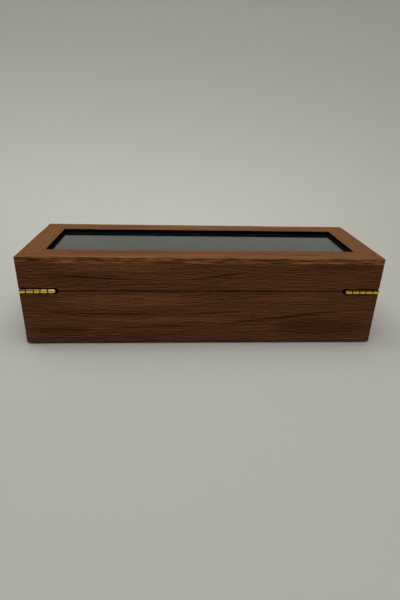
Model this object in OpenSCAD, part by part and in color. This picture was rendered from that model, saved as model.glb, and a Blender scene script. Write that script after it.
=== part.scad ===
// Glass-topped wooden display box for four pocket watches, hinged at its back.
// +X runs along the front, +Y towards the hinges and +Z up.
// The origin is the centre of the felt underside that the box stands on.

/* [Case] */
// Width of the case along its front
case_w = 320; // [280:1:400]
// Depth of the case from front to back
case_d = 112; // [102:1:140]
// Height of the base boards
base_h = 52; // [48:0.1:65]
// Height of the lid from its rim to its top
lid_h = 30.6; // [28:0.1:45]
// Gap between the two rims when the lid is shut
seam_gap = 0.4; // [0.2:0.1:0.6]
// Thickness of the case boards
wall_t = 9; // [8.5:0.5:12]
// Rounding of the upright corners
corner_r = 1; // [0.5:0.1:2]
// Rounding of the bottom edges of the base
foot_r = 2; // [0.5:0.1:3]
// Rounding of the top edges of the lid
top_r = 0.8; // [0.3:0.1:2]
// Easing of the edges that face each other at the seam
rim_r = 0.5; // [0.1:0.1:0.6]

/* [Bottom] */
// Thickness of the felt that the box stands on
felt_t = 1; // [0.5:0.1:2]
// Distance of the felt from the outer faces
felt_inset = 4; // [2:0.5:6]
// Thickness of the bottom panel
panel_t = 5; // [3:0.5:8]
// Depth of the rebate that holds the bottom panel
rebate_w = 4; // [2:0.5:5]
// Thickness of the covered board on the bottom panel
floor_t = 2; // [1:0.5:4]

/* [Lining] */
// Thickness of the covered boards on the walls
lining_t = 1.5; // [1:0.1:2.5]
// Height of the base lining above the seam
lip_h = 4; // [2:0.5:6]
// Clearance between the base lining and the lid boards
lip_gap = 0.3; // [0.2:0.05:0.6]
// Gap between the base lining and the lid lining above it
lining_gap = 0.4; // [0.2:0.1:1]
// Thickness of a divider
divider_t = 3; // [2:0.5:5]
// Height of a divider
divider_h = 36; // [30:1:42]

/* [Watch pads] */
// Height of a watch pad
pad_h = 30; // [24:1:33]
// Clearance round a watch pad
pad_gap = 0.5; // [0.3:0.1:1]
// Rounding of the upright corners of a pad
pad_corner_r = 5; // [2:0.5:8]
// Rounding of the top edges of a pad
pad_edge_r = 6; // [2:0.5:7]
// Rounding of the bottom edges of a pad
pad_foot_r = 1.5; // [0.5:0.5:3]
// Rise of the top of a pad from its sides to its middle
pad_crown = 1.2; // [0.5:0.1:3]
// Diameter of the well that holds a watch
well_d = 52; // [40:1:55]
// Depth of the well
well_depth = 9; // [5:0.5:14]
// Rounding of the edge of the well
well_edge_r = 3; // [1:0.5:4]
// Distance of the well in front of the middle of the pad
well_front = 7; // [3:0.5:8]
// Width of the channel for the crown and bow of a watch
bow_w = 18; // [12:1:24]
// Depth of that channel
bow_depth = 6; // [4:0.5:8]
// Length of that channel beyond the edge of the well
bow_run = 14; // [10:0.5:16]

/* [Window] */
// Width of the frame round the window
frame_w = 21; // [19:0.5:24]
// Thickness of the frame above the glass
frame_lip_t = 3.3; // [2:0.1:5]
// Thickness of the glass
glass_t = 2; // [1.5:0.1:3]
// Distance that the glass reaches under the frame
glass_reach = 4.7; // [3:0.1:8]
// Clearance between the edge of the glass and its rebate
glass_gap = 0.3; // [0.1:0.1:0.8]
// Thickness of the covered strips that hold the glass up
retainer_t = 2; // [1:0.5:3]
// Rounding of the strips where they show inside the window
retainer_r = 0.8; // [0.2:0.1:0.9]

/* [Hinges] */
// Length of a hinge barrel
hinge_len = 30; // [24:1:36]
// Distance of the barrel from the side face
hinge_end_gap = 1; // [0.8:0.1:3]
// Diameter of the barrel
barrel_d = 4; // [3.4:0.1:4.6]
// Distance of the hinge axis behind the back face
axis_out = 0.5; // [0.3:0.1:1]
// Length of each base knuckle with its gap
base_knuckle_l = 6.6; // [5:0.1:8]
// Gap between knuckles
knuckle_gap = 0.5; // [0.2:0.05:0.6]
// Bevel round both ends of a knuckle
knuckle_bevel = 0.3; // [0.1:0.05:0.5]
// Diameter of the hinge pin
pin_d = 1.8; // [1.4:0.1:2]
// Running clearance round the pin in the lid knuckles; it is fast in the base knuckles
pin_gap = 0.05; // [0.02:0.01:0.1]
// Diameter of the heads on the pin
pin_head_d = 2.8; // [2.4:0.1:3.2]
// Thickness of the heads on the pin
pin_head_t = 0.4; // [0.2:0.1:0.6]
// Play between the heads on the pin and the barrel
pin_play = 0.05; // [0.02:0.01:0.1]
// Thickness of a leaf
leaf_t = 1.2; // [0.8:0.1:1.6]
// Distance of a leaf from the inner face of the boards
leaf_margin = 0.6; // [0.4:0.1:1.2]
// Reach of the side arm of a leaf from the hinge axis
leaf_arm = 33; // [32:0.5:40]
// Clearance between the leaf edge and the barrel
barrel_gap = 0.4; // [0.2:0.1:0.6]
// Clearance above and below the barrel in its groove
groove_gap = 0.7; // [0.4:0.1:1.2]
// Length of the groove past the inner end of the barrel
groove_run = 3; // [2:0.5:5]

/* [Stays] */
// Angle that the lid opens to
lid_open = 95; // [85:1:100]
// Radius of the stay about the hinge axis
stay_r = 22; // [20:0.5:23]
// Width of the stay strip
stay_w = 3; // [2:0.1:3.6]
// Thickness of the stay strip
stay_t = 1.6; // [1:0.1:2]
// Diameter of the heads on the ends of the stay
stay_head_d = 4; // [3.6:0.1:4.4]
// Length of those heads across the stay
stay_head_len = 4.2; // [3.4:0.1:4.6]
// Clearance round the stay in the leaves and the boards
stay_gap = 0.4; // [0.3:0.1:0.6]
// Play between a head of the stay and its leaf when the lid is open
stay_play = 0.1; // [0.05:0.05:0.3]

/* [Screws and magnets] */
// Diameter of a screw head
screw_head_d = 4; // [3:0.1:4.6]
// Diameter of a screw shank
screw_d = 1.6; // [1.2:0.1:2]
// Length of a screw
screw_len = 8; // [6:0.5:10]
// Clearance round a screw in its holes
screw_gap = 0.05; // [0.03:0.01:0.1]
// Width of the slot in a screw head
screw_slot = 0.5; // [0.3:0.1:0.8]
// Distance of the first screw from the inner end of the back arm
screw_inset = 4.5; // [3:0.5:6]
// Distance between the two screws of the back arm
screw_pitch = 10.5; // [8:0.5:12]
// Diameter of a magnet
magnet_d = 6; // [4:0.5:7]
// Thickness of a magnet
magnet_t = 2.5; // [1.5:0.5:4]
// Distance of each magnet from the middle of the front
magnet_x = 60; // [30:1:110]

/* [Finger notch] */
// Radius of the scoop under the front edge of the lid
notch_r = 40; // [25:1:60]
// Height and depth of the scoop
notch_depth = 2.4; // [1.5:0.1:3]

/* [Hidden] */
$fn = 64;

// Each bay and each knuckle has its own place in the list of nodes, so their counts are fixed.
bays = 4;
knuckles = 5;
// Cuts run this far past the faces that they open.
past = 5;
// Pilot holes run this much deeper than their screws.
pilot_over = 1;
// Rounding of the top of a covered board, as a share of its thickness
cover_round = 0.45;
// Shallow arches have large radii, so they are drawn in more steps.
arch_fn = 720;

half_w = case_w / 2;
half_d = case_d / 2;
inner_x = half_w - wall_t;
inner_y = half_d - wall_t;
lid_inner_x = inner_x + lip_gap;
lid_inner_y = inner_y + lip_gap;
window_x = half_w - frame_w;
window_y = half_d - frame_w;

// Heights, from the table up
boards_z = felt_t;
panel_z = boards_z + panel_t;
floor_z = panel_z + floor_t;
rim_z = boards_z + base_h;
seam_z = rim_z + seam_gap / 2;
lid_z = rim_z + seam_gap;
top_z = lid_z + lid_h;
lip_z = seam_z + lip_h;
glass_z = top_z - frame_lip_t - glass_t;
retainer_z = glass_z - retainer_t;

// Bays between the linings
bay_x = inner_x - lining_t;
bay_y = inner_y - lining_t;
bay_w = (2 * bay_x - (bays - 1) * divider_t) / bays;
pad_w = bay_w - 2 * pad_gap;
pad_d = 2 * (bay_y - pad_gap);
pad_z = floor_z + pad_h;

// Right-hand hinge; the left one is its mirror image
barrel_r = barrel_d / 2;
axis_y = half_d + axis_out;
hinge_x1 = half_w - hinge_end_gap;
hinge_x0 = hinge_x1 - hinge_len;
lid_knuckle_l = (hinge_len - 2 * base_knuckle_l) / 3;
leaf_y0 = inner_y + leaf_margin;
leaf_y1 = axis_y - barrel_r - barrel_gap;
arm_x0 = inner_x + leaf_margin;
arm_y0 = axis_y - leaf_arm;
stay_x = (arm_x0 + hinge_x1) / 2;
groove_r = barrel_r + groove_gap;
// Angle from the seam to a stay head that leaves it just under the leaf when the lid is open
stay_catch = asin((seam_gap / 2 + leaf_t + stay_head_d / 2 + stay_play) / stay_r);
stay_half = lid_open / 2 + stay_catch;
stay_reach_z = stay_r * sin(stay_half) + stay_head_d / 2 + stay_gap;
stay_back_y = axis_y - stay_r * cos(stay_half) + stay_head_d / 2 + stay_gap;
stay_front_y = axis_y - stay_r - stay_head_d / 2 - stay_gap;
screw_back_y = (leaf_y0 + leaf_y1) / 2;
screw_side_y = (arm_y0 + stay_front_y) / 2;

// Rectangle standing on the x axis, with rounded lower and upper corners
module rounded_outline(w, h, low_r, high_r) {
    difference() {
        translate([-w / 2, 0]) square([w, h]);
        for (side = [-1, 1]) {
            corner_cut(side * w / 2, 0, low_r, -side, 1);
            corner_cut(side * w / 2, h, high_r, -side, -1);
        }
    }
}

// What a rounded corner takes away from a square one, into_x and into_y pointing into the shape
module corner_cut(x, y, r, into_x, into_y) {
    translate([x, y])
        difference() {
            translate([-into_x * past / 2, -into_y * past / 2])
                square_from([into_x * (r + past / 2), into_y * (r + past / 2)]);
            translate([into_x * r, into_y * r]) circle(r);
        }
}

// Square with one corner at the origin and the opposite one at size, which may be negative
module square_from(size) {
    translate([min(0, size[0]), min(0, size[1])]) square([abs(size[0]), abs(size[1])]);
}

// Solid block of the case between two heights, with its edges rounded
module rounded_block(w, d, z0, z1, plan_r, low_r, high_r) {
    h = z1 - z0;
    intersection() {
        translate([0, -d / 2, z0]) linear_extrude(h) rounded_outline(w, d, plan_r, plan_r);
        translate([0, d, z0]) rotate([90, 0, 0])
            linear_extrude(2 * d) rounded_outline(w, h, low_r, high_r);
        translate([-w, 0, z0]) rotate([90, 0, 90])
            linear_extrude(2 * w) rounded_outline(d, h, low_r, high_r);
    }
}

// Board behind the middle, cut to a mitre at both ends, its inner edge half_len long each way
module mitred(half_len, offset_y, width, z0, z1) {
    translate([0, 0, z0])
        linear_extrude(z1 - z0)
            polygon([
                [-half_len, offset_y],
                [half_len, offset_y],
                [half_len + width, offset_y + width],
                [-half_len - width, offset_y + width],
            ]);
}

// One of the four sides of a rectangle of mitred boards
module side_board(side, in_x, in_y, width, z0, z1) {
    if (side == "back") mitred(in_x, in_y, width, z0, z1);
    if (side == "front") rotate(180) mitred(in_x, in_y, width, z0, z1);
    if (side == "left") rotate(90) mitred(in_y, in_x, width, z0, z1);
    if (side == "right") rotate(-90) mitred(in_y, in_x, width, z0, z1);
}

module both_sides() {
    children();
    mirror([1, 0, 0]) children();
}

// Box between two corners
module span(a, b) {
    translate(a) cube(b - a);
}

// Groove for the barrel, a stadium seen from behind, open at the side face
module barrel_groove() {
    end_x = hinge_x0 - groove_run + groove_r;
    depth = axis_y - leaf_y1 + past;
    translate([0, leaf_y1, seam_z]) {
        translate([end_x, 0, -groove_r]) cube([half_w + past - end_x, depth, 2 * groove_r]);
        translate([end_x, depth, 0]) rotate([90, 0, 0]) cylinder(h = depth, r = groove_r);
    }
}

// Outline of a leaf, seen from above
module leaf_outline() {
    translate([hinge_x0, leaf_y0]) square([hinge_x1 - hinge_x0, leaf_y1 - leaf_y0]);
    translate([arm_x0, arm_y0]) square([hinge_x1 - arm_x0, leaf_y1 - arm_y0]);
}

// Pocket in a board for the half of the stay that drops or rises into it
module stay_pocket(z0, z1) {
    half = stay_head_len / 2 + stay_gap;
    span([stay_x - half, stay_front_y, z0], [stay_x + half, stay_back_y, z1]);
}

// Repeats a shape at the two screws of the back arm and the one at the end of the side arm
module at_screws(z) {
    for (run = [0, screw_pitch]) translate([hinge_x0 + screw_inset + run, screw_back_y, z]) children();
    translate([stay_x, screw_side_y, z]) children();
}

// Everything that a hinge cuts out of the base boards
module base_hinge_cut() {
    barrel_groove();
    translate([0, 0, rim_z - leaf_t]) linear_extrude(past) leaf_outline();
    stay_pocket(seam_z - stay_reach_z, rim_z);
    at_screws(rim_z - screw_len - pilot_over) pilot_hole();
}

// Everything that a hinge cuts out of the lid boards
module lid_hinge_cut() {
    barrel_groove();
    translate([0, 0, lid_z - past + leaf_t]) linear_extrude(past) leaf_outline();
    stay_pocket(lid_z, seam_z + stay_reach_z);
    at_screws(lid_z) pilot_hole();
}

module pilot_hole() {
    cylinder(h = screw_len + pilot_over, d = screw_d + 2 * screw_gap);
}

module base_board(side) {
    color("saddlebrown")
        difference() {
            intersection() {
                rounded_block(case_w, case_d, boards_z, rim_z, corner_r, foot_r, rim_r);
                side_board(side, inner_x, inner_y, wall_t + past, boards_z - past, rim_z + past);
            }
            panel_block(past);
            if (side == "front") magnet_pair(rim_z - magnet_t, rim_z + past);
            else both_sides() base_hinge_cut();
        }
}

// Space of the bottom panel, reaching lower than the panel where it cuts the boards
module panel_block(below) {
    x = inner_x + rebate_w;
    y = inner_y + rebate_w;
    span([-x, -y, boards_z - below], [x, y, panel_z]);
}

module bottom_panel() {
    color("sienna") panel_block(0);
}

module bottom_felt() {
    x = half_w - felt_inset;
    y = half_d - felt_inset;
    color("black")
        translate([0, -y, 0]) linear_extrude(felt_t) rounded_outline(2 * x, 2 * y, felt_inset, felt_inset);
}

module floor_lining() {
    color("black") span([-inner_x, -inner_y, panel_z], [inner_x, inner_y, floor_z]);
}

// Upright covered board centred on the origin, len long in x, with a rounded top edge
module covered_board(len, t, h) {
    translate([-len / 2, 0, 0])
        rotate([90, 0, 90])
            linear_extrude(len)
                difference() {
                    translate([-t / 2, 0]) square([t, h]);
                    for (side = [-1, 1]) corner_cut(side * t / 2, h, cover_round * t, -side, -1);
                }
}

// Lining of one wall, from z0 to z1, against boards whose inner faces are at in_x and in_y
module wall_lining(side, in_x, in_y, z0, z1) {
    along_x = side == "front" || side == "back";
    back = side == "back" || side == "right" ? 1 : -1;
    len = along_x ? 2 * in_x : 2 * (in_y - lining_t);
    place = (along_x ? in_y : in_x) - lining_t / 2;
    color("black")
        translate(along_x ? [0, back * place, z0] : [back * place, 0, z0])
            rotate(along_x ? 0 : 90)
                covered_board(len, lining_t, z1 - z0);
}

module divider(n) {
    x = -bay_x + n * bay_w + (n - 0.5) * divider_t;
    color("black")
        translate([x, 0, floor_z]) rotate(90) covered_board(2 * bay_y, divider_t, divider_h);
}

module magnet_pair(z0, z1) {
    for (x = [-magnet_x, magnet_x])
        translate([x, -(inner_y + half_d) / 2, z0]) cylinder(h = z1 - z0, d = magnet_d);
}

// Padded block with a round well for the watch and a channel for its crown and bow
module watch_pad(n) {
    x = -bay_x + (n - 0.5) * bay_w + (n - 1) * divider_t;
    channel_y = -well_front + well_d / 2 + bow_run - bow_w / 2;
    color("black")
        translate([x, 0, 0])
            difference() {
                crowned_block();
                translate([0, -well_front, pad_z - well_depth]) cylinder(h = well_depth + past, d = well_d);
                translate([0, -well_front, pad_z])
                    rotate_extrude() corner_cut(well_d / 2, 0, well_edge_r, 1, -1);
                span([-bow_w / 2, -well_front, pad_z - bow_depth], [bow_w / 2, channel_y, pad_z + past]);
                translate([0, channel_y, pad_z - bow_depth]) cylinder(h = bow_depth + past, d = bow_w);
            }
}

// Body of a pad, its top arched both ways
module crowned_block() {
    across_r = arch_r(pad_w, pad_crown);
    along_r = arch_r(pad_d, pad_crown);
    intersection() {
        rounded_block(pad_w, pad_d, floor_z, pad_z, pad_corner_r, pad_foot_r, pad_edge_r);
        translate([0, pad_d, pad_z - across_r])
            rotate([90, 0, 0]) cylinder(h = 2 * pad_d, r = across_r, $fn = arch_fn);
        translate([-pad_w, 0, pad_z - along_r])
            rotate([0, 90, 0]) cylinder(h = 2 * pad_w, r = along_r, $fn = arch_fn);
    }
}

// Radius of an arch that rises by rise over a span
function arch_r(width, rise) = (width * width / 4 + rise * rise) / (2 * rise);

module lid_board(side) {
    color("saddlebrown")
        difference() {
            intersection() {
                rounded_block(case_w, case_d, lid_z, top_z, corner_r, rim_r, top_r);
                side_board(side, lid_inner_x, lid_inner_y, wall_t + past, lid_z - past, glass_z);
            }
            if (side == "front") {
                magnet_pair(lid_z - past, lid_z + magnet_t);
                finger_notch();
            }
            else both_sides() lid_hinge_cut();
        }
}

// Scoop that lets a finger under the front edge of the lid
module finger_notch() {
    out = (sqrt(2 * notch_r * notch_r - notch_depth * notch_depth) - notch_depth) / 2;
    translate([0, -half_d - out, lid_z - out]) sphere(r = notch_r);
}

module frame_rail(side) {
    color("sienna")
        difference() {
            intersection() {
                rounded_block(case_w, case_d, lid_z, top_z, corner_r, rim_r, top_r);
                side_board(side, window_x, window_y, frame_w + past, glass_z, top_z + past);
            }
            glass_block(glass_gap, past);
        }
}

// Space of the glass, grown by a gap round its edge and opened below
module glass_block(gap, below) {
    x = window_x + glass_reach + gap;
    y = window_y + glass_reach + gap;
    span([-x, -y, glass_z - below], [x, y, glass_z + glass_t]);
}

module window_glass() {
    color("lightgray", 0.4) glass_block(0, 0);
}

// Covered strip under the edge of the glass, mitred at its ends
module retainer(side) {
    width_x = lid_inner_x - window_x;
    color("black")
        intersection() {
            side_board(side, window_x, window_y, width_x, retainer_z, glass_z);
            difference() {
                span([-lid_inner_x, -lid_inner_y, retainer_z], [lid_inner_x, lid_inner_y, glass_z]);
                retainer_edges();
            }
        }
}

// Rounding of the lower inner edges of the strips, as bars laid along the window
module retainer_edges() {
    for (turn = [0, 180]) {
        rotate(turn) translate([0, window_y, retainer_z]) edge_bar(2 * window_x);
        rotate(turn + 90) translate([0, window_x, retainer_z]) edge_bar(2 * window_y);
    }
}

module edge_bar(len) {
    reach = len + 2 * frame_w;
    translate([-reach / 2, 0, 0]) rotate([90, 0, 90]) linear_extrude(reach) corner_cut(0, 0, retainer_r, 1, 1);
}

// Range of knuckle k along the barrel, the even ones on the lid
function knuckle_end(k) = hinge_x0 + ceil(k / 2) * lid_knuckle_l + floor(k / 2) * base_knuckle_l;
function knuckle_x0(k) = knuckle_end(k) + (k == 0 ? 0 : knuckle_gap / 2);
function knuckle_x1(k) = knuckle_end(k + 1) - (k == knuckles - 1 ? 0 : knuckle_gap / 2);

// Leaf of the right-hand hinge: first is 0 for the lid leaf and 1 for the base leaf
module hinge_leaf(first) {
    low_z = first == 0 ? lid_z : rim_z - leaf_t;
    head_z = first == 0 ? lid_z : rim_z;
    bore_r = pin_d / 2 + (first == 0 ? pin_gap : 0);
    color("gold")
        difference() {
            union() {
                translate([0, 0, low_z]) linear_extrude(leaf_t) leaf_outline();
                for (k = [first : 2 : knuckles - 1]) {
                    span([knuckle_x0(k), leaf_y1 - barrel_gap, low_z], [knuckle_x1(k), axis_y, low_z + leaf_t]);
                    knuckle(k);
                }
            }
            for (k = [first : 2 : knuckles - 1]) knuckle_bore(k, bore_r);
            span(
                [stay_x - stay_t / 2 - stay_gap, axis_y - stay_r - stay_w / 2 - stay_gap, low_z - past],
                [stay_x + stay_t / 2 + stay_gap, axis_y - stay_r + stay_w / 2 + stay_gap, low_z + leaf_t + past]
            );
            at_screws(head_z) countersink(first == 0 ? -1 : 1);
        }
}

// Round part of knuckle k, bevelled at both ends
module knuckle(k) {
    run = knuckle_x1(k) - knuckle_x0(k);
    end_r = barrel_r - knuckle_bevel;
    translate([knuckle_x0(k), axis_y, seam_z])
        rotate([0, 90, 0]) {
            cylinder(h = knuckle_bevel, r1 = end_r, r2 = barrel_r);
            translate([0, 0, knuckle_bevel]) cylinder(h = run - 2 * knuckle_bevel, r = barrel_r);
            translate([0, 0, run - knuckle_bevel]) cylinder(h = knuckle_bevel, r1 = barrel_r, r2 = end_r);
        }
}

// Bore for the pin through knuckle k
module knuckle_bore(k, r) {
    translate([knuckle_x0(k) - past, axis_y, seam_z])
        rotate([0, 90, 0])
            cylinder(h = knuckle_x1(k) - knuckle_x0(k) + 2 * past, r = r);
}

// Seat of a screw head in a leaf, up being 1 where the head is on top
module countersink(up) {
    head_r = screw_head_d / 2 + screw_gap;
    shank_r = screw_d / 2 + screw_gap;
    mirror([0, 0, up > 0 ? 0 : 1]) {
        translate([0, 0, -leaf_t]) cylinder(h = leaf_t, r1 = shank_r, r2 = head_r);
        cylinder(h = past, r = head_r);
        translate([0, 0, -leaf_t - past]) cylinder(h = 2 * past, r = shank_r);
    }
}

module hinge_pin() {
    color("goldenrod")
        translate([hinge_x0, axis_y, seam_z])
            rotate([0, 90, 0]) {
                translate([0, 0, -pin_play]) cylinder(h = hinge_len + 2 * pin_play, d = pin_d);
                for (z = [-pin_play - pin_head_t, hinge_len + pin_play])
                    translate([0, 0, z]) cylinder(h = pin_head_t, d = pin_head_d);
            }
}

// Curved strip about the hinge axis, with a head at each end that stops it under a leaf
module hinge_stay() {
    color("gold")
        translate([stay_x, axis_y, seam_z]) {
            translate([-stay_t / 2, 0, 0])
                rotate([0, 90, 0]) rotate(-90 - stay_half)
                    rotate_extrude(angle = 2 * stay_half)
                        translate([stay_r - stay_w / 2, 0]) square([stay_w, stay_t]);
            for (end = [-1, 1])
                rotate([end * stay_half, 0, 0])
                    translate([-stay_head_len / 2, -stay_r, 0])
                        rotate([0, 90, 0]) cylinder(h = stay_head_len, d = stay_head_d);
        }
}

// Slotted countersunk screw with its head at the origin, pointing down
module screw() {
    tip = 2 * screw_d;
    difference() {
        union() {
            translate([0, 0, -leaf_t]) cylinder(h = leaf_t, d1 = screw_d, d2 = screw_head_d);
            translate([0, 0, tip - screw_len]) cylinder(h = screw_len - tip - leaf_t / 2, d = screw_d);
            translate([0, 0, -screw_len]) cylinder(h = tip, d1 = screw_d / 4, d2 = screw_d);
        }
        translate([-screw_head_d, -screw_slot / 2, -leaf_t / 2]) cube([2 * screw_head_d, screw_slot, leaf_t]);
    }
}

module hinge_screws(on_lid) {
    color("goldenrod") at_screws(on_lid ? lid_z : rim_z) mirror([0, 0, on_lid ? 1 : 0]) screw();
}

module on_side(side) {
    if (side == "right") children();
    else mirror([1, 0, 0]) children();
}

for (side = ["front", "back", "left", "right"]) {
    base_board(side);
    wall_lining(side, inner_x, inner_y, floor_z, lip_z);
    lid_board(side);
    frame_rail(side);
    retainer(side);
    wall_lining(side, lid_inner_x, lid_inner_y, lip_z + lining_gap, retainer_z);
}
bottom_panel();
bottom_felt();
floor_lining();
window_glass();
color("silver") magnet_pair(rim_z - magnet_t, rim_z);  // base_magnets
color("silver") magnet_pair(lid_z, lid_z + magnet_t);  // lid_magnets
for (n = [1 : bays - 1])
    divider(n);
for (n = [1 : bays])
    watch_pad(n);
for (side = ["left", "right"]) {
    hinge = str("hinge_", side, "_");
    on_side(side) hinge_leaf(1);
    on_side(side) hinge_leaf(0);
    on_side(side) hinge_pin();
    on_side(side) hinge_stay();
    on_side(side) hinge_screws(false);
    on_side(side) hinge_screws(true);
}
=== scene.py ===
import math

import bmesh
import bpy
from bpy.props import FloatProperty, FloatVectorProperty, IntProperty, PointerProperty
from bpy.types import Operator, Panel, PropertyGroup
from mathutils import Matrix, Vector, noise


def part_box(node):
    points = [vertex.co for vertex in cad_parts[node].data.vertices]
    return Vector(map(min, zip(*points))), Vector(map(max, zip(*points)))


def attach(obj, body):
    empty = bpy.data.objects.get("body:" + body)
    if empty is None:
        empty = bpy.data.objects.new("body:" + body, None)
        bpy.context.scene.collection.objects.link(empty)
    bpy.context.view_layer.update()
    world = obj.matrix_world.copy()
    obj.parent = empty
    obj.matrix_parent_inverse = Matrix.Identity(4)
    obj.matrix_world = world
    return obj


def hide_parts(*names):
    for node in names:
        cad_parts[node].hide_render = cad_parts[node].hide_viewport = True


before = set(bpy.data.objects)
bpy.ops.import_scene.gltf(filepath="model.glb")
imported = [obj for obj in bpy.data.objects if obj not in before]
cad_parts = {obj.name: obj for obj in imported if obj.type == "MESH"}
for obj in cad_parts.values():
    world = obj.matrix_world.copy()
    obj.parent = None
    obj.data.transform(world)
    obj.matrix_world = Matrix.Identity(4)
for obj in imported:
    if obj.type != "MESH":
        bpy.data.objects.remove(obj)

bl_info = {
    "name": "Pocket watch display box",
    "version": (1, 0, 0),
    "blender": (4, 5, 0),
    "location": "3D View > Sidebar > Display Box",
    "description": "Finishes, watch pads and studio of a glass-topped walnut display box",
    "category": "Object",
}

MM = 0.001
SIDES = ("front", "back", "left", "right")
HINGES = ("hinge_left", "hinge_right")

# Middle along the grain, height, half length, half width (mm), slope and tone of each streak on the back.
BACK_STREAKS = (
    (72, 76, 64, 7, 0.0, 0.16),
    (101, 66.2, 52, 1.2, 0.06, -0.30),
    (-10, 67.2, 31, 1.3, -0.125, -0.24),
    (-124, 75.5, 36, 3.5, 0.0, -0.12),
    (65, 43.5, 82, 8, 0.0, 0.20),
    (88, 31, 70, 1.2, 0.02, -0.34),
    (-10, 31.8, 32, 1.2, -0.075, -0.22),
    (35, 25, 88, 3.2, 0.0, 0.16),
    (48, 17.5, 45, 1.5, -0.024, -0.26),
    (-75, 27.5, 75, 1.8, -0.12, -0.26),
    (-110, 17, 55, 11, 0.0, -0.13),
    (-80, 46, 48, 3, 0.0, 0.15),
    (128, 14.5, 36, 5, 0.0, -0.16),
)
# The same for the front, seen from behind.
FRONT_STREAKS = (
    (-60, 72, 90, 5, 0.02, 0.14),
    (30, 64, 80, 1.3, -0.05, -0.28),
    (90, 42, 60, 7, 0.0, 0.18),
    (-40, 36, 110, 1.4, 0.03, -0.32),
    (-90, 24, 60, 4, 0.0, 0.15),
    (60, 18, 90, 1.5, -0.03, -0.28),
)
# The same for the rails, with the distance from the middle of the window in place of the height. The first two rows
# are painted highlights, light lines along the outer edges of the front and back rails.
RAIL_STREAKS_AND_HIGHLIGHTS = (
    (90, 53.3, 80, 1.2, 0.0, 0.20),
    (-60, 52.8, 90, 1.0, 0.0, 0.12),
    (70, 41, 60, 1.6, 0.02, -0.18),
    (-80, 45, 50, 1.4, -0.03, -0.18),
    (0, 48, 40, 2.0, 0.02, 0.10),
)

# Name, place, aim, width, depth (mm) and power (W) of each softbox.
SOFTBOXES = (
    ("over_box", (0, -50, 900), (0, -50, 0), 900, 900, 1.7),
    ("over_left", (600, -300, 800), (300, -200, 0), 600, 600, 1.2),
    ("over_camera", (0, 450, 900), (0, 100, 0), 800, 600, 3.35),
    ("wall", (0, -100, 1100), (0, -1400, 350), 1000, 600, 5.5),
    ("wall_low", (0, -350, 550), (0, -1300, 100), 800, 300, 1.0),
    ("wall_behind", (0, 300, 1100), (0, 1400, 350), 1000, 500, 0.7),
)
# Places (mm) of the faces that the streaks lie on, how far a streak reaches in and how far it waves.
BACK_FACE, FRONT_FACE, TOP_FACE = 56, -56, 84
STREAK_REACH = 25
STREAK_WAVE = 2.5
# Length and width (mm) of the waves in the grain, and how many ring spacings they shift the rings.
WAVE_RUN, WAVE_WIDTH = 60, 9
RING_SHIFT = 3.0
# Place of the heart of the tree (mm) from the middle of the box.
TREE_HEART = (0, 160, 20)
# Contrast of the bands, the fibres and the rings in the wood.
BAND_CONTRAST, FIBRE_CONTRAST, RING_CONTRAST = 0.25, 0.75, 0.03
# Distances (mm) at which the painted shade of the seam and of the knuckles' joints, and the dark line of the
# mitres, begins and is full.
SEAM_FADE = (0.75, 0.25)
MITRE_FADE = (0.45, 0.15)
JOINT_FADE = (0.55, 0.35)
# Radius (mm) and innermost place of the painted shade in the groove round a hinge's barrel.
GROOVE_RADIUS = 2.74
GROOVE_FLOOR = 54.05
# Distances (mm) of the knuckles' joints from the middle of the barrel, and where the barrel begins.
KNUCKLE_JOINTS = (2.8, 9.4)
BARREL_START = 54.2
# How far (mm) past the window's edge the black paint of the frame reaches.
PAINT_REACH = 0.1
# Number of watch pads, height (mm) of a pad's glued foot, and depth below its top where its hollows start.
PADS = 4
PAD_FOOT = 2.5
HOLLOW_DEPTH = 5
# Size (mm) of the dips in the felt.
FELT_DIP_RUN = 6
# How far (mm) the studio floor lies under the box.
FLOOR_DROP = 0.05
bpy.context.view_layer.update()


def length(name, description, millimetres):
    """A property for a length, its default given in millimetres."""
    return FloatProperty(
        name=name, description=description, default=millimetres * MM, min=0, precision=5, unit="LENGTH"
    )


def share(name, description, value):
    """A property for a share from 0 to 1."""
    return FloatProperty(name=name, description=description, default=value, min=0, max=1, subtype="FACTOR")


def colour(name, description, value):
    """A property for a colour, in linear light."""
    return FloatVectorProperty(
        name=name, description=description, default=value, min=0, max=1, size=3, subtype="COLOR"
    )


class WalnutSettings(PropertyGroup):
    """Colours and grain of the walnut boards and rails"""
    dark: colour("Dark grain", "Colour of the darkest late wood", (0.030, 0.009, 0.003))
    middle: colour("Middle grain", "Colour of most of the wood", (0.112, 0.040, 0.014))
    light: colour("Light grain", "Colour of the palest early wood", (0.245, 0.091, 0.033))
    band: length("Band width", "Width of the broad bands of colour across the grain", 13)
    band_run: length("Band length", "Length of the broad bands along the grain", 150)
    dash: length("Dash width", "Width of the short dark dashes that mottle the wood", 0.8)
    dash_run: length("Dash length", "Length of the short dashes along the grain", 10)
    fibre: length("Fibre width", "Width of the finest fibres", 0.6)
    fibre_run: length("Fibre length", "Length of the finest fibres along the grain", 24)
    ring: length("Ring spacing", "Distance between two growth rings", 3.4)
    pore_width: length("Pore width", "Distance between pores across the grain", 0.7)
    pore_run: length("Pore length", "Distance between pores along the grain", 8)
    # Figure also scales the two painted highlights along the outer edges of the rails.
    # Strength of the listed streaks
    figure: share("Figure", "Strength of the hand-placed streaks", 1.0)
    mottle: share("Mottle", "Contrast of the short dashes", 0.62)
    rail: FloatVectorProperty(
        name="Rails", description="How many times as bright the rails of the window are as the boards",
        default=(1.62, 1.78, 1.64), min=0, size=3, subtype="XYZ"
    )
    rail_contrast: FloatProperty(
        name="Rail contrast", description="How many times as strong the figure of the rails is", default=1.3, min=0
    )
    roughness: share("Roughness", "Roughness of the oiled surface", 0.5)
    gloss: share("Gloss", "Specular level of the oiled surface", 0.06)


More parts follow.
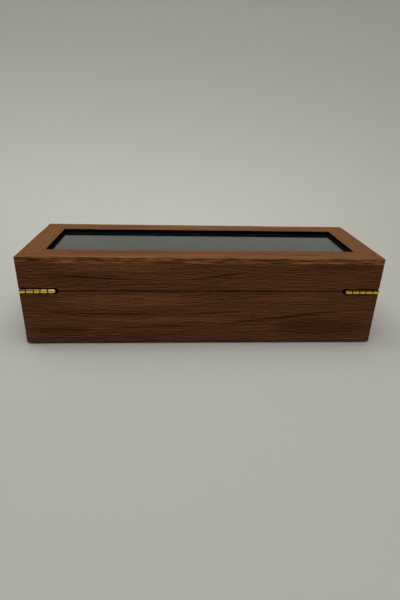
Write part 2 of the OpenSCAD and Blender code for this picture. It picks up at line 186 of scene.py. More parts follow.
class BrassSettings(PropertyGroup):
    """Colour and polish of the hinges and screws"""
    metal: colour("Brass", "Colour of the polished brass", (1.0, 0.71, 0.12))
    tarnish: colour("Tarnish", "Colour of the brass where fingers dull it", (0.80, 0.50, 0.075))
    polish: share("Polish", "Roughness of the polished metal", 0.12)
    dull: share("Dull", "Roughness of the duller patches", 0.2)
    scratch: length("Scratch width", "Width of the fine polishing scratches", 0.12)


class VelvetSettings(PropertyGroup):
    """Colour and pile of the velvet inside the box"""
    pile: colour("Pile", "Colour of the velvet lying flat", (0.0055, 0.0055, 0.0062))
    brushed: colour("Brushed pile", "Colour of the velvet where it is brushed up", (0.0125, 0.0125, 0.0145))
    tuft: length("Tuft size", "Size of one tuft of the pile", 0.3)
    patch: length("Patch size", "Size of the patches that the pile is brushed into", 16)
    sheen: share("Sheen", "Strength of the sheen at grazing angles", 0.35)


class FeltSettings(PropertyGroup):
    """Colour and cut of the felt under the box"""
    wool: colour("Wool", "Colour of the felt", (0.010, 0.010, 0.011))
    fleck: colour("Fleck", "Colour of the paler fibres in the felt", (0.035, 0.035, 0.038))
    cell: length("Cell", "Distance between the points of the sheet", 2)
    unevenness: length("Unevenness", "Depth of the dips in the surface of the felt", 0.12)


class GlassSettings(PropertyGroup):
    """Colour and bending power of the window glass"""
    tint: colour("Tint", "Colour that the glass gives to what is behind it", (0.93, 0.97, 0.95))
    index: FloatProperty(name="Index", description="Refractive index of the glass", default=1.54, min=1, max=2)


class PadSettings(PropertyGroup):
    """How the velvet of a watch pad is stuffed"""
    voxel: length("Voxel", "Size of the cells that the cover is meshed in", 1.8)
    slack: length("Slack", "How far the cover starts inside the finished pad", 0.9)
    swell: length("Swell", "Furthest that the stuffing pushes the cover", 1.3)
    pressure: FloatProperty(name="Pressure", description="Pressure of the stuffing", default=4, min=0, max=20)
    steps: IntProperty(name="Steps", description="Frames of the simulation", default=20, min=2, max=60)
    wrinkle: length("Wrinkle", "Depth of the soft wrinkles in the cover", 0.16)
    wrinkle_run: length("Wrinkle size", "Size of the soft wrinkles", 11)


class StudioSettings(PropertyGroup):
    """Camera, floor and lights"""
    camera_place: FloatVectorProperty(
        name="Camera place", description="Where the lens stands", size=3, unit="LENGTH",
        subtype="TRANSLATION", default=(24.1 * MM, 395.8 * MM, 198.9 * MM),
    )
    camera_turn: FloatVectorProperty(
        name="Camera turn", description="How the camera is turned", size=3, unit="ROTATION", subtype="EULER",
        default=(math.radians(65.62), math.radians(-1.44), math.radians(177.04)),
    )
    camera_lens: FloatProperty(
        name="Lens", description="Focal length for a film 36 mm high", default=25.08, unit="CAMERA"
    )
    floor: colour("Floor", "Colour of the floor and its cove", (0.60, 0.60, 0.542))
    floor_radius: length("Floor radius", "Radius of the flat part of the floor", 450)
    cove_radius: length("Cove radius", "Radius of the curve from the floor to the wall", 1100)
    wall_height: length("Wall height", "Height of the wall above the curve", 300)
    brightness: FloatProperty(
        name="Brightness", description="Power of all softboxes, as a share of their usual power", default=1, min=0
    )


class DisplayBoxSettings(PropertyGroup):
    """All settings of the display box"""
    walnut: PointerProperty(type=WalnutSettings)
    brass: PointerProperty(type=BrassSettings)
    velvet: PointerProperty(type=VelvetSettings)
    felt: PointerProperty(type=FeltSettings)
    glass: PointerProperty(type=GlassSettings)
    pads: PointerProperty(type=PadSettings)
    studio: PointerProperty(type=StudioSettings)


class Finish:
    """A new material, with short calls that add and join its nodes. Places are in metres, on the piece."""

    def __init__(self, name, **shader):
        self.material = bpy.data.materials.new(name)
        self.material.use_nodes = True
        self.tree = self.material.node_tree
        self.shader = self.tree.nodes["Principled BSDF"]
        self.output = self.tree.nodes["Material Output"]
        self.place = self.add("TexCoord").outputs["Object"]
        for socket, value in shader.items():
            self.feed(self.shader.inputs[socket.replace("_", " ")], value)

    def add(self, kind, sockets=(), **attributes):
        """A node of a kind, with values or links for its sockets."""
        node = self.tree.nodes.new("ShaderNode" + kind)
        for name, value in attributes.items():
            setattr(node, name, value)
        for name, value in dict(sockets).items():
            self.feed(node.inputs[name], value)
        return node

    def feed(self, socket, value):
        """Links a socket to an output, or sets its value."""
        if isinstance(value, bpy.types.NodeSocket):
            self.tree.links.new(value, socket)
        elif socket.type == "RGBA" and len(value) == 3:
            socket.default_value = (*value, 1)
        else:
            socket.default_value = value

    def math(self, operation, a, b=0.0, clamp=False):
        """The result of one sum."""
        return self.add("Math", {0: a, 1: b}, operation=operation, use_clamp=clamp).outputs[0]

    def mix(self, factor, a, b, blend_type="MIX"):
        """A colour between a and b."""
        node = self.add("Mix", data_type="RGBA", blend_type=blend_type)
        for socket, value in (("Factor_Float", factor), ("A_Color", a), ("B_Color", b)):
            self.feed(next(s for s in node.inputs if s.identifier == socket), value)
        return next(s for s in node.outputs if s.identifier == "Result_Color")

    def remap(self, value, low, high, to_low=0.0, to_high=1.0, smooth=False):
        """A value between low and high, moved to the range from to_low to to_high."""
        kind = "SMOOTHSTEP" if smooth else "LINEAR"
        sockets = {"Value": value, "From Min": low, "From Max": high, "To Min": to_low, "To Max": to_high}
        return self.add("MapRange", sockets, interpolation_type=kind).outputs["Result"]

    def stretched(self, run, width, shift, place=None):
        """Places divided by run along the first axis and by width across it, and shifted apart."""
        sockets = {
            "Vector": place or self.place,
            "Scale": (1 / run, 1 / width, 1 / width),
            "Location": (shift, 2.3 * shift, -1.7 * shift),
        }
        return self.add("Mapping", sockets).outputs["Vector"]

    def noise(self, run, width, shift, detail=2.0, distortion=0.0, place=None):
        """Soft noise about 0.5, run long and width wide."""
        sockets = {
            "Vector": self.stretched(run, width, shift, place),
            "Scale": 1.0, "Detail": detail, "Distortion": distortion,
        }
        return self.add("TexNoise", sockets).outputs["Fac"]

    def lines(self, run, width, shift, across, place):
        """Fine lines about 0: soft noise less the same noise one width across, so that nothing broad is left."""
        beside = self.add("VectorMath", {0: place, 1: [width * way for way in across]}, operation="ADD")
        here, there = (self.noise(run, width, shift, detail=0.5, place=where)
                       for where in (place, beside.outputs["Vector"]))
        return self.math("SUBTRACT", here, there)

    def bump(self, height, distance, strength=1.0):
        """Normals for a surface as rough as a height from 0 to 1 times a distance."""
        sockets = {"Height": height, "Distance": distance, "Strength": strength}
        return self.add("Bump", sockets).outputs["Normal"]


def made(name):
    """The finish of that name if an operator has made it before."""
    return bpy.data.materials.get(name)


def walnut(look, along, name, rail=False):
    """Oiled walnut with its grain along X or Y, and painted shade in a board's seam and hinge grooves. A rail is
    paler, and black where it faces the window.
    """
    if made(name):
        return made(name)
    f = Finish(name, Roughness=look.roughness, Specular_IOR_Level=look.gloss)
    place = f.place
    if along == "Y":
        place = f.add("Mapping", {"Vector": place, "Rotation": (0, 0, math.radians(-90))}).outputs["Vector"]
    wobble = f.noise(WAVE_RUN * MM, WAVE_WIDTH * MM, 5.2, detail=1.0, place=place)
    tone = f.math("ADD", grain_tone(f, look, place, wobble, rail), figure_and_highlight_tone(f, look, place, wobble, rail))
    if rail:
        tone = f.math("MULTIPLY", tone, look.rail_contrast)
    ramp = f.add("ValToRGB", {"Fac": f.math("ADD", tone, 0.5, clamp=True)})
    stops = ramp.color_ramp.elements
    stops[0].position, stops[0].color = 0.1, (*look.dark, 1)
    stops[1].position, stops[1].color = 0.9, (*look.light, 1)
    stops.new(0.5).color = (*look.middle, 1)
    dash = pore_dashes(f, look, place)
    wood = f.mix(f.math("MULTIPLY", dash, 0.6), ramp.outputs["Color"], look.dark)
    if rail:
        wood = f.add("VectorMath", {0: wood, 1: look.rail}, operation="MULTIPLY").outputs["Vector"]
    # For a board, dark is the painted shade in the seam and the hinge grooves; for a rail, the black paint of the
    # window's edges and the dark lines of the mitres.
    dark = rail_paint_and_mitres(f) if rail else seam_shade(f)
    wood = f.mix(dark, wood, (0.003, 0.0025, 0.002))
    f.feed(f.shader.inputs["Base Color"], wood)
    f.feed(f.shader.inputs["Roughness"], f.remap(tone, -0.3, 0.3, look.roughness + 0.08, look.roughness - 0.06))
    f.feed(f.shader.inputs["Specular IOR Level"], f.math("MULTIPLY", f.math("SUBTRACT", 1.0, dark), look.gloss))
    relief = f.math("SUBTRACT", f.math("MULTIPLY", tone, 0.6), f.math("MULTIPLY", dash, 0.8))
    f.feed(f.shader.inputs["Normal"], f.bump(relief, 0.04 * MM, 0.6))
    return f.material


def grain_tone(f, look, place, wobble, rail):
    """Tone about 0 of the bands, rings, dashes and fibres that run all through the wood."""
    band = f.noise(look.band_run, look.band, 3.1, distortion=0.5, place=place)
    across = (0, 1, 0) if rail else (0, 0, 1)
    dash = f.lines(look.dash_run, look.dash, 7.7, across, place)
    fibre = f.lines(look.fibre_run, look.fibre, 1.3, across, place)
    heart = f.add("VectorMath", {0: place, 1: Vector(TREE_HEART) * MM}, operation="ADD").outputs["Vector"]
    axes = f.add("SeparateXYZ", {"Vector": heart}).outputs
    radius = f.math("SQRT", f.math("ADD", f.math("MULTIPLY", axes["Y"], axes["Y"]),
                                   f.math("MULTIPLY", axes["Z"], axes["Z"])))
    radius = f.math("ADD", radius, f.math("MULTIPLY", wobble, RING_SHIFT * look.ring))
    late = f.remap(f.math("FRACT", f.math("DIVIDE", radius, look.ring)), 0.55, 1.0, smooth=True)
    tone = f.math("MULTIPLY", f.math("SUBTRACT", band, 0.5), BAND_CONTRAST)
    tone = f.math("ADD", tone, f.math("MULTIPLY", dash, look.mottle))
    tone = f.math("ADD", tone, f.math("MULTIPLY", fibre, FIBRE_CONTRAST))
    return f.math("SUBTRACT", tone, f.math("MULTIPLY", late, RING_CONTRAST))


def figure_and_highlight_tone(f, look, place, wobble, rail):
    """Tone about 0 of the broad streaks, and on the rails of two painted highlights along their outer edges, each a
    long soft-edged oval that waves a little.
    """
    wave = f.math("MULTIPLY", f.math("SUBTRACT", wobble, 0.5), STREAK_WAVE * MM)
    side = f.math("MULTIPLY", wave, 1.0 if rail else 0.0)
    waving = f.add("CombineXYZ", {"Y": side, "Z": wave}).outputs["Vector"]
    place = f.add("VectorMath", {0: place, 1: waving}, operation="ADD").outputs["Vector"]
    if rail:
        ovals = [
            ((along * turn, across * turn, TOP_FACE), (half, width, STREAK_REACH), (0, 0, math.atan(slope)), tone)
            for turn in (1, -1) for along, across, half, width, slope, tone in RAIL_STREAKS_AND_HIGHLIGHTS
        ]
    else:
        ovals = [
            ((along, depth, height), (half, STREAK_REACH, width), (0, -math.atan(slope), 0), tone)
            for depth, streaks in ((BACK_FACE, BACK_STREAKS), (FRONT_FACE, FRONT_STREAKS))
            for along, height, half, width, slope, tone in streaks
        ]
    total = 0.0
    for middle, radii, turn, tone in ovals:
        sockets = {
            "Vector": place, "Location": Vector(middle) * MM, "Rotation": turn, "Scale": Vector(radii) * MM,
        }
        inside = f.add("Mapping", sockets, vector_type="TEXTURE").outputs["Vector"]
        away = f.add("VectorMath", {0: inside}, operation="LENGTH").outputs["Value"]
        total = f.math("ADD", total, f.remap(away, 1.0, 0.5, 0.0, tone * look.figure, smooth=True))
    return total


def pore_dashes(f, look, place):
    """1 in the short open pores, and 0 between them."""
    pores = f.add("TexVoronoi", {"Vector": f.stretched(look.pore_run, look.pore_width, 4.4, place), "Scale": 1.0})
    dash = f.remap(pores.outputs["Distance"], 0.32, 0.14, smooth=True)
    present = f.math("GREATER_THAN", f.add("SeparateColor", {"Color": pores.outputs["Color"]}).outputs[0], 0.45)
    return f.math("MULTIPLY", dash, present)


def seam_shade(f):
    """1 in the seam between base and lid and in the grooves of the hinges, where shade is painted, and 0 on the
    faces of the boards.
    """
    low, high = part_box("hinge_right_pin")
    axis = (low + high) / 2
    axes = f.add("SeparateXYZ", {"Vector": f.place}).outputs
    height = f.math("ABSOLUTE", f.math("SUBTRACT", axes["Z"], axis.z))
    seam = f.remap(height, *(edge * MM for edge in SEAM_FADE), 0.0, 0.9, smooth=True)
    past_end = f.math("MINIMUM", f.math("SUBTRACT", f.math("ABSOLUTE", axes["X"]), low.x), 0.0)
    away = f.math("SQRT", f.math("ADD", f.math("MULTIPLY", past_end, past_end), f.math("MULTIPLY", height, height)))
    near = f.math("LESS_THAN", away, GROOVE_RADIUS * MM)
    outside = f.math("GREATER_THAN", axes["Y"], GROOVE_FLOOR * MM)
    return f.math("MAXIMUM", seam, f.math("MULTIPLY", near, outside))


def rail_paint_and_mitres(f):
    """1 on the black inner edges of the rails, and a part of it along the mitres."""
    axes = f.add("SeparateXYZ", {"Vector": f.place}).outputs
    low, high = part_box("frame_back")
    across = f.math("SUBTRACT", high.x, f.math("ABSOLUTE", axes["X"]))
    deep = f.math("SUBTRACT", high.y, f.math("ABSOLUTE", axes["Y"]))
    off_mitre = f.math("ABSOLUTE", f.math("SUBTRACT", across, deep))
    mitre = f.remap(off_mitre, *(edge * MM for edge in MITRE_FADE), 0.0, 0.45, smooth=True)
    return f.math("MAXIMUM", inner_edge(f), mitre)


def inner_edge(f):
    """1 on the faces of the frame that look into the window, and 0 elsewhere."""
    low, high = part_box("frame_back")
    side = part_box("frame_left")[1].x
    axes = f.add("SeparateXYZ", {"Vector": f.place}).outputs
    across = f.math("LESS_THAN", f.math("ABSOLUTE", axes["X"]), PAINT_REACH * MM - side)
    deep = f.math("LESS_THAN", f.math("ABSOLUTE", axes["Y"]), PAINT_REACH * MM + low.y)
    return f.math("MULTIPLY", across, deep)


def brass(look):
    """Polished brass, dulled in patches and finely scratched, with painted shade in the joints between the
    knuckles.
    """
    name = "polished_brass"
    if made(name):
        return made(name)
    f = Finish(name, Metallic=1.0)
    patch = f.remap(f.noise(5 * MM, 3 * MM, 2.0, detail=3.0), 0.45, 0.7, smooth=True)
    scratch = f.noise(40 * look.scratch, look.scratch, 6.0, detail=2.0)
    metal = f.mix(f.math("MULTIPLY", patch, 0.5), look.metal, look.tarnish)
    # Painted shade, near black, in the joints between the knuckles.
    f.feed(f.shader.inputs["Base Color"], f.mix(joint_shade(f), metal, (0.010, 0.006, 0.003)))
    f.feed(f.shader.inputs["Roughness"], f.remap(patch, 0, 1, look.polish, look.dull))
    f.feed(f.shader.inputs["Normal"], f.bump(scratch, 0.004 * MM, 0.5))
    return f.material


def joint_shade(f):
    """1 in the joints between the knuckles, where shade is painted, and 0 elsewhere."""
    low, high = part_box("hinge_right_pin")
    axes = f.add("SeparateXYZ", {"Vector": f.place}).outputs
    along = f.math("SUBTRACT", f.math("ABSOLUTE", axes["X"]), (low.x + high.x) / 2)
    along = f.math("ABSOLUTE", along)
    joints = [f.math("ABSOLUTE", f.math("SUBTRACT", along, place * MM)) for place in KNUCKLE_JOINTS]
    near = f.remap(f.math("MINIMUM", *joints), *(edge * MM for edge in JOINT_FADE), smooth=True)
    return f.math("MULTIPLY", near, f.math("GREATER_THAN", axes["Y"], BARREL_START * MM))


def nickel():
    """Bright nickel plate with a faint orange peel."""
    name = "nickel_plate"
    if made(name):
        return made(name)
    f = Finish(name, Metallic=1.0, Base_Color=(0.62, 0.60, 0.57))
    peel = f.noise(0.8 * MM, 0.8 * MM, 3.0, detail=2.0)
    f.feed(f.shader.inputs["Roughness"], f.remap(peel, 0.3, 0.7, 0.2, 0.3))
    f.feed(f.shader.inputs["Normal"], f.bump(peel, 0.01 * MM, 0.4))
    return f.material


def velvet(look, name="black_velvet"):
    """Short black pile, brushed in patches, with a sheen at grazing angles."""
    if made(name):
        return made(name)
    f = Finish(
        name, Roughness=0.9, Specular_IOR_Level=0.05, Sheen_Weight=look.sheen, Sheen_Roughness=0.35,
        Sheen_Tint=(0.55, 0.56, 0.60),
    )
    brushed = f.remap(f.noise(look.patch, look.patch, 1.0, detail=3.0), 0.38, 0.68, smooth=True)
    tuft = f.noise(look.tuft, look.tuft, 8.0, detail=2.0)
    lit = f.math("ADD", f.math("MULTIPLY", brushed, 0.8), f.math("MULTIPLY", tuft, 0.3), clamp=True)
    f.feed(f.shader.inputs["Base Color"], f.mix(lit, look.pile, look.brushed))
    f.feed(f.shader.inputs["Normal"], f.bump(tuft, 0.06 * MM, 0.4))
    return f.material


def felt_wool(look):
    """Pressed wool felt with paler flecks and matted fibres."""
    f = Finish("wool_felt", Roughness=0.95, Specular_IOR_Level=0.08, Sheen_Weight=0.3, Sheen_Roughness=0.6)
    fibre = f.noise(3 * MM, 0.3 * MM, 2.0, detail=3.0, distortion=2.0)
    other = f.noise(0.4 * MM, 2.4 * MM, 5.0, detail=3.0, distortion=2.0)
    matted = f.math("MAXIMUM", fibre, other)
    f.feed(f.shader.inputs["Base Color"], f.mix(f.remap(matted, 0.5, 0.78), look.wool, look.fleck))
    f.feed(f.shader.inputs["Normal"], f.bump(matted, 0.3 * MM, 0.6))
    return f.material


def plywood():
    """Birch face ply, with pale grain and thin glue lines at its edges."""
    f = Finish("birch_ply", Roughness=0.6, Specular_IOR_Level=0.25)
    grain = f.noise(60 * MM, 2.5 * MM, 4.0, detail=4.0)
    height = f.add("SeparateXYZ", {"Vector": f.place}).outputs["Z"]
    layer = f.math("FRACT", f.math("DIVIDE", height, 1.25 * MM))
    glue = f.math("GREATER_THAN", layer, 0.9)
    pale = f.mix(f.remap(grain, 0.3, 0.7), (0.62, 0.44, 0.27), (0.48, 0.31, 0.17))
    f.feed(f.shader.inputs["Base Color"], f.mix(f.math("MULTIPLY", glue, 0.7), pale, (0.13, 0.07, 0.03)))
    f.feed(f.shader.inputs["Normal"], f.bump(grain, 0.05 * MM, 0.4))
    return f.material


def window_pane(look):
    """Clear float glass that lets the lamps light what is under it."""
    f = Finish("float_glass", Roughness=0.0, IOR=look.index, Transmission_Weight=1.0)
    streak = f.remap(f.noise(60 * MM, 20 * MM, 3.0), 0.3, 0.7)
    tint = f.mix(f.math("MULTIPLY", streak, 0.1), look.tint, (1.0, 1.0, 1.0))
    f.feed(f.shader.inputs["Base Color"], tint)
    lamp_ray = f.add("LightPath").outputs["Is Shadow Ray"]
    clear = f.add("BsdfTransparent", {"Color": tint}).outputs[0]
    both = f.add("MixShader", {0: lamp_ray, 1: f.shader.outputs[0], 2: clear}).outputs[0]
    f.feed(f.output.inputs["Surface"], both)
    return f.material


def paper(look):
    """Pale matt studio paper."""
    f = Finish("studio_paper", Roughness=0.85, Specular_IOR_Level=0.2)
    tooth = f.noise(1.5 * MM, 1.5 * MM, 2.0, detail=3.0)
    f.feed(f.shader.inputs["Base Color"], f.mix(f.remap(tooth, 0.3, 0.7, 0.0, 0.03), look.floor, (0.5, 0.5, 0.5)))
    return f.material


def dress(names, material):
    """Gives carried-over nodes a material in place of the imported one."""
    for name in names:
        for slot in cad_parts[name].material_slots:
            slot.material = material


def link(obj):
    """The same object, in the scene."""
    bpy.context.scene.collection.objects.link(obj)
    return obj


def new_piece(name, mesh, material):
    """An object for a mesh, smoothly shaded and in one material."""
    mesh.name = name
    mesh.materials.clear()
    mesh.materials.append(material)
    for face in mesh.polygons:
        face.use_smooth = True
    return link(bpy.data.objects.new(name, mesh))


def normals_of(mesh):
    """The normals of a mesh's points, read before any point is moved."""
    return [point.normal.copy() for point in mesh.vertices]


def evaluated_mesh(obj):
    """A copy of an object's mesh with its modifiers applied."""
    graph = bpy.context.evaluated_depsgraph_get()
    return bpy.data.meshes.new_from_object(obj.evaluated_get(graph))


def remeshed(mesh, voxel):
    """A copy of a closed mesh in even cells, its creases softened."""
    rough = link(bpy.data.objects.new("remesh_form", mesh))
    rough.modifiers.new("cells", "REMESH").voxel_size = voxel
    even = evaluated_mesh(rough)
    bpy.data.objects.remove(rough)
    return even


def glued_points(mesh, block):
    """Points of the cover that are glued to the block: its underside and the floors of its hollows."""
    low, high = block
    base = low.z + PAD_FOOT * MM
    glued = []
    for point in mesh.vertices:
        spot = Vector((point.co.x, point.co.y))
        hollow = point.normal.z > 0.9 and point.co.z < high.z - HOLLOW_DEPTH * MM
        if point.co.z < base or hollow and spot.length < high.y:
            glued.append(point.index)
    return glued


def stuffed(mesh, block, look):
    """The cover after its stuffing has pushed it out, as a new mesh."""
    for point, normal in zip(mesh.vertices, normals_of(mesh)):
        if point.co.z > block[0].z + PAD_FOOT * MM:
            point.co -= normal * look.slack
    start = [point.co.copy() for point in mesh.vertices]
    cover = link(bpy.data.objects.new("pad_cover", mesh))
    group = cover.vertex_groups.new(name="glued")
    group.add(glued_points(mesh, block), 1.0, "REPLACE")
    cloth = cover.modifiers.new("stuffing", "CLOTH")
    settings = cloth.settings
    settings.quality = 5
    settings.mass = 0.2
    settings.tension_stiffness = settings.compression_stiffness = 12
    settings.shear_stiffness = 6
    settings.bending_stiffness = 0.4
    settings.use_pressure = True
    settings.uniform_pressure_force = look.pressure
    settings.vertex_group_mass = group.name
    settings.effector_weights.gravity = 0
    cloth.point_cache.frame_start, cloth.point_cache.frame_end = 1, look.steps
    scene = bpy.context.scene
    for step in range(1, look.steps + 1):
        scene.frame_set(step)
    swollen = evaluated_mesh(cover)
    scene.frame_set(1)
    for point, place in zip(swollen.vertices, start):
        push = point.co - place
        if push.length > look.swell:
            point.co = place + push.normalized() * look.swell
    bpy.data.objects.remove(cover)
    return swollen


def finer(mesh):
    """A copy of a mesh, subdivided once."""
    coarse = link(bpy.data.objects.new("coarse_form", mesh))
    coarse.modifiers.new("finer", "SUBSURF").levels = 1
    fine = evaluated_mesh(coarse)
    bpy.data.objects.remove(coarse)
    return fine


def wrinkle(mesh, look, shift):
    """Soft wrinkles all over a cover, and none underneath."""
    for point, normal in zip(mesh.vertices, normals_of(mesh)):
        if normal.z > -0.7:
            depth = noise.fractal(point.co / look.wrinkle_run + shift, 0.9, 2.0, 3)
            point.co += normal * depth * look.wrinkle


class DISPLAYBOX_OT_boards(Operator):
    """Veneers the boards of the base and the lid in walnut"""
    bl_idname = "display_box.boards"
    bl_label = "Boards"

    def execute(self, context):
        look = context.scene.display_box.walnut
        for part in ("base_", "lid_"):
            dress([part + side for side in ("front", "back")], walnut(look, "X", "walnut_along_x"))
            dress([part + side for side in ("left", "right")], walnut(look, "Y", "walnut_along_y"))
        return {"FINISHED"}


class DISPLAYBOX_OT_window_frame(Operator):
    """Finishes the four mitred rails round the window, black where they face the glass"""
    bl_idname = "display_box.window_frame"
    bl_label = "Window frame"

    def execute(self, context):
        look = context.scene.display_box.walnut
        dress(["frame_front", "frame_back"], walnut(look, "X", "walnut_rail_along_x", rail=True))
        dress(["frame_left", "frame_right"], walnut(look, "Y", "walnut_rail_along_y", rail=True))
        return {"FINISHED"}


class DISPLAYBOX_OT_glass(Operator):
    """Makes the window pane clear"""
    bl_idname = "display_box.glass"
    bl_label = "Glass"

    def execute(self, context):
        dress(["window_glass"], window_pane(context.scene.display_box.glass))
        return {"FINISHED"}


class DISPLAYBOX_OT_linings(Operator):
    """Covers the floor, the linings, the dividers and the glass strips in velvet"""
    bl_idname = "display_box.linings"
    bl_label = "Linings"

    def execute(self, context):
        names = [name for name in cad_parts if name.startswith(("lining_", "lid_lining_", "divider_"))]
        names += ["retainer_" + side for side in SIDES] + ["floor_lining"]
        dress(names, velvet(context.scene.display_box.velvet))
        return {"FINISHED"}


class DISPLAYBOX_OT_watch_pads(Operator):
    """Stuffs a velvet cover over each of the watch pads"""
    bl_idname = "display_box.watch_pads"
    bl_label = "Watch pads"

    def execute(self, context):
        look = context.scene.display_box.pads
        material = velvet(context.scene.display_box.velvet, "pad_velvet")
        low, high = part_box("watch_pad_1")
        middle = (low.x + high.x) / 2
        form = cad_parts["watch_pad_1"].data.copy()
        for point in form.vertices:
            point.co.x -= middle
        low.x, high.x = low.x - middle, high.x - middle
        cover = remeshed(form, look.voxel)
        cover = stuffed(cover, (low, high), look)
        cover = finer(cover)
        for number in range(1, PADS + 1):
            node = f"watch_pad_{number}"
            low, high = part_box(node)
            mesh = cover.copy()
            wrinkle(mesh, look, Vector((0, 0, 5.0 * number)))
            for point in mesh.vertices:
                point.co.x += (low.x + high.x) / 2
            pad = new_piece(f"velvet_pad_{number}", mesh, material)
            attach(pad, f"pad_{number}")
            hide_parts(node)
        return {"FINISHED"}


class DISPLAYBOX_OT_hinges(Operator):
    """Polishes the brass leaves, pins and stays of both hinges"""
    bl_idname = "display_box.hinges"
    bl_label = "Hinges"

    def execute(self, context):
        parts = ("base_leaf", "lid_leaf", "pin", "stay")
        dress([f"{hinge}_{part}" for hinge in HINGES for part in parts], brass(context.scene.display_box.brass))
        return {"FINISHED"}


class DISPLAYBOX_OT_fasteners(Operator):
    """Finishes the brass screws and the nickel-plated magnets"""
    bl_idname = "display_box.fasteners"
    bl_label = "Screws and magnets"

    def execute(self, context):
        screws = [f"{hinge}_{part}_screws" for hinge in HINGES for part in ("base", "lid")]
        dress(screws, brass(context.scene.display_box.brass))
        dress(["base_magnets", "lid_magnets"], nickel())
        return {"FINISHED"}


class DISPLAYBOX_OT_bottom(Operator):
    """Finishes the bottom panel and lays the felt under the box"""
    bl_idname = "display_box.bottom"
    bl_label = "Bottom and felt"

    def execute(self, context):
        dress(["bottom_panel"], plywood())
        look = context.scene.display_box.felt
        felt = new_piece("felt_sheet", self.sheet_mesh(look), felt_wool(look))
        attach(felt, "base")
        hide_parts("bottom_felt")
        return {"FINISHED"}

    def sheet_mesh(self, look):
        """A sheet in even cells from edge to edge, uneven below and soft at its cut edges."""
        low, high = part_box("bottom_felt")
        columns = round((high.x - low.x) / look.cell)
        rows = round((high.y - low.y) / look.cell)
        form = bmesh.new()
        grids = []
        for top in (False, True):
            grid = []
            for row in range(rows + 1):
                line = []
                for column in range(columns + 1):
                    line.append(form.verts.new(self.felt_point(look, low, high, column / columns, row / rows, top)))
                grid.append(line)
            grids.append(grid)
        for top, grid in enumerate(grids):
            for a, b in zip(grid, grid[1:]):
                for corners in zip(a, a[1:], b[1:], b):
                    form.faces.new(corners if top else corners[::-1])
        below, above = grids
        rims = [
            (below[0], above[0]), (below[-1][::-1], above[-1][::-1]),
            ([line[0] for line in below][::-1], [line[0] for line in above][::-1]),
            ([line[-1] for line in below], [line[-1] for line in above]),
        ]
        for lower, upper in rims:
            for corners in zip(lower, lower[1:], upper[1:], upper):
                form.faces.new(corners)
        mesh = bpy.data.meshes.new("felt_sheet")
        form.to_mesh(mesh)
        form.free()
        return mesh

    def felt_point(self, look, low, high, across, deep, top):
        """A point of the sheet, from shares of its width and depth."""
        x = low.x + (high.x - low.x) * across
        y = low.y + (high.y - low.y) * deep
        if top:
            return Vector((x, y, high.z))
        dip = 0.5 + 0.5 * noise.noise(Vector((x, y, 0)) / (FELT_DIP_RUN * MM))
        return Vector((x, y, low.z + dip * look.unevenness))


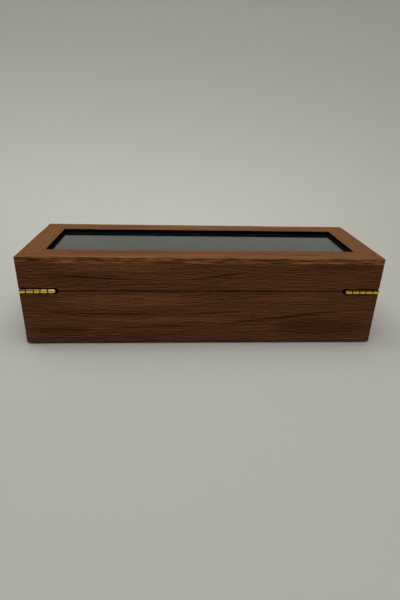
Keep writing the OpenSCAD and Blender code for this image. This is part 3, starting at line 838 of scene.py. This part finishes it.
class DISPLAYBOX_OT_studio(Operator):
    """Sets up the camera, the pale floor with its cove, and the soft lights"""
    bl_idname = "display_box.studio"
    bl_label = "Studio"

    def execute(self, context):
        look = context.scene.display_box.studio
        self.camera(context, look)
        self.floor(look)
        self.lights(context, look)
        context.scene.view_settings.view_transform = "Standard"
        return {"FINISHED"}

    def camera(self, context, look):
        """The camera, where the photographer's stood."""
        lens = bpy.data.cameras.new("camera")
        lens.lens = look.camera_lens
        lens.sensor_width = 36
        lens.clip_start, lens.clip_end = 0.01, 20
        camera = link(bpy.data.objects.new("camera", lens))
        camera.location = look.camera_place
        camera.rotation_euler = look.camera_turn
        context.scene.camera = camera

    def floor(self, look):
        """A round floor that curves up into a low wall, so that it looks alike from every side."""
        radii = [0.0, look.floor_radius / 2, look.floor_radius]
        heights = [0.0, 0.0, 0.0]
        turns = 16
        for turn in range(1, turns + 1):
            angle = math.pi / 2 * turn / turns
            radii.append(look.floor_radius + look.cove_radius * math.sin(angle))
            heights.append(look.cove_radius * (1 - math.cos(angle)))
        radii.append(radii[-1])
        heights.append(heights[-1] + look.wall_height)
        form = bmesh.new()
        points = [form.verts.new((r, 0, z - FLOOR_DROP * MM)) for r, z in zip(radii, heights)]
        edges = [form.edges.new(pair) for pair in zip(points, points[1:])]
        bmesh.ops.spin(form, geom=points + edges, axis=(0, 0, 1), cent=(0, 0, 0), angle=2 * math.pi, steps=96)
        bmesh.ops.remove_doubles(form, verts=form.verts, dist=0.1 * MM)
        bmesh.ops.recalc_face_normals(form, faces=form.faces)
        mesh = bpy.data.meshes.new("floor")
        form.to_mesh(mesh)
        form.free()
        floor = new_piece("floor", mesh, paper(look))

    def lights(self, context, look):
        """Softboxes over the box and in front of the wall, and no light from all round."""
        for name, place, aim, width, depth, power in SOFTBOXES:
            lamp = bpy.data.lights.new(name, "AREA")
            lamp.shape = "RECTANGLE"
            lamp.size, lamp.size_y = width * MM, depth * MM
            lamp.energy = power * look.brightness
            softbox = link(bpy.data.objects.new(name, lamp))
            softbox.location = Vector(place) * MM
            ray = (Vector(aim) - Vector(place)) * MM
            softbox.rotation_euler = ray.to_track_quat("-Z", "Y").to_euler()
            softbox.visible_camera = False
            softbox.visible_transmission = False
            softbox.visible_glossy = name in ("over_box", "over_camera")
        world = bpy.data.worlds.new("studio")
        world.use_nodes = True
        world.node_tree.nodes["Background"].inputs["Strength"].default_value = 0
        context.scene.world = world


OPERATORS = (
    DISPLAYBOX_OT_studio, DISPLAYBOX_OT_boards, DISPLAYBOX_OT_window_frame, DISPLAYBOX_OT_glass,
    DISPLAYBOX_OT_linings, DISPLAYBOX_OT_watch_pads, DISPLAYBOX_OT_hinges, DISPLAYBOX_OT_fasteners,
    DISPLAYBOX_OT_bottom,
)


class DISPLAYBOX_PT_panel(Panel):
    """Lists the steps that finish the display box"""
    bl_idname = "DISPLAYBOX_PT_panel"
    bl_label = "Display Box"
    bl_space_type = "VIEW_3D"
    bl_region_type = "UI"
    bl_category = "Display Box"

    def draw(self, context):
        for operator in OPERATORS:
            self.layout.operator(operator.bl_idname)


CLASSES = (
    WalnutSettings, BrassSettings, VelvetSettings, FeltSettings, GlassSettings, PadSettings, StudioSettings,
    DisplayBoxSettings, *OPERATORS, DISPLAYBOX_PT_panel,
)


def register():
    for cls in CLASSES:
        bpy.utils.register_class(cls)
    bpy.types.Scene.display_box = PointerProperty(type=DisplayBoxSettings)


def unregister():
    del bpy.types.Scene.display_box
    for cls in reversed(CLASSES):
        bpy.utils.unregister_class(cls)


def main():
    register()
    for operator in OPERATORS:
        group, name = operator.bl_idname.split(".")
        getattr(getattr(bpy.ops, group), name)()


if __name__ == "__main__":
    main()
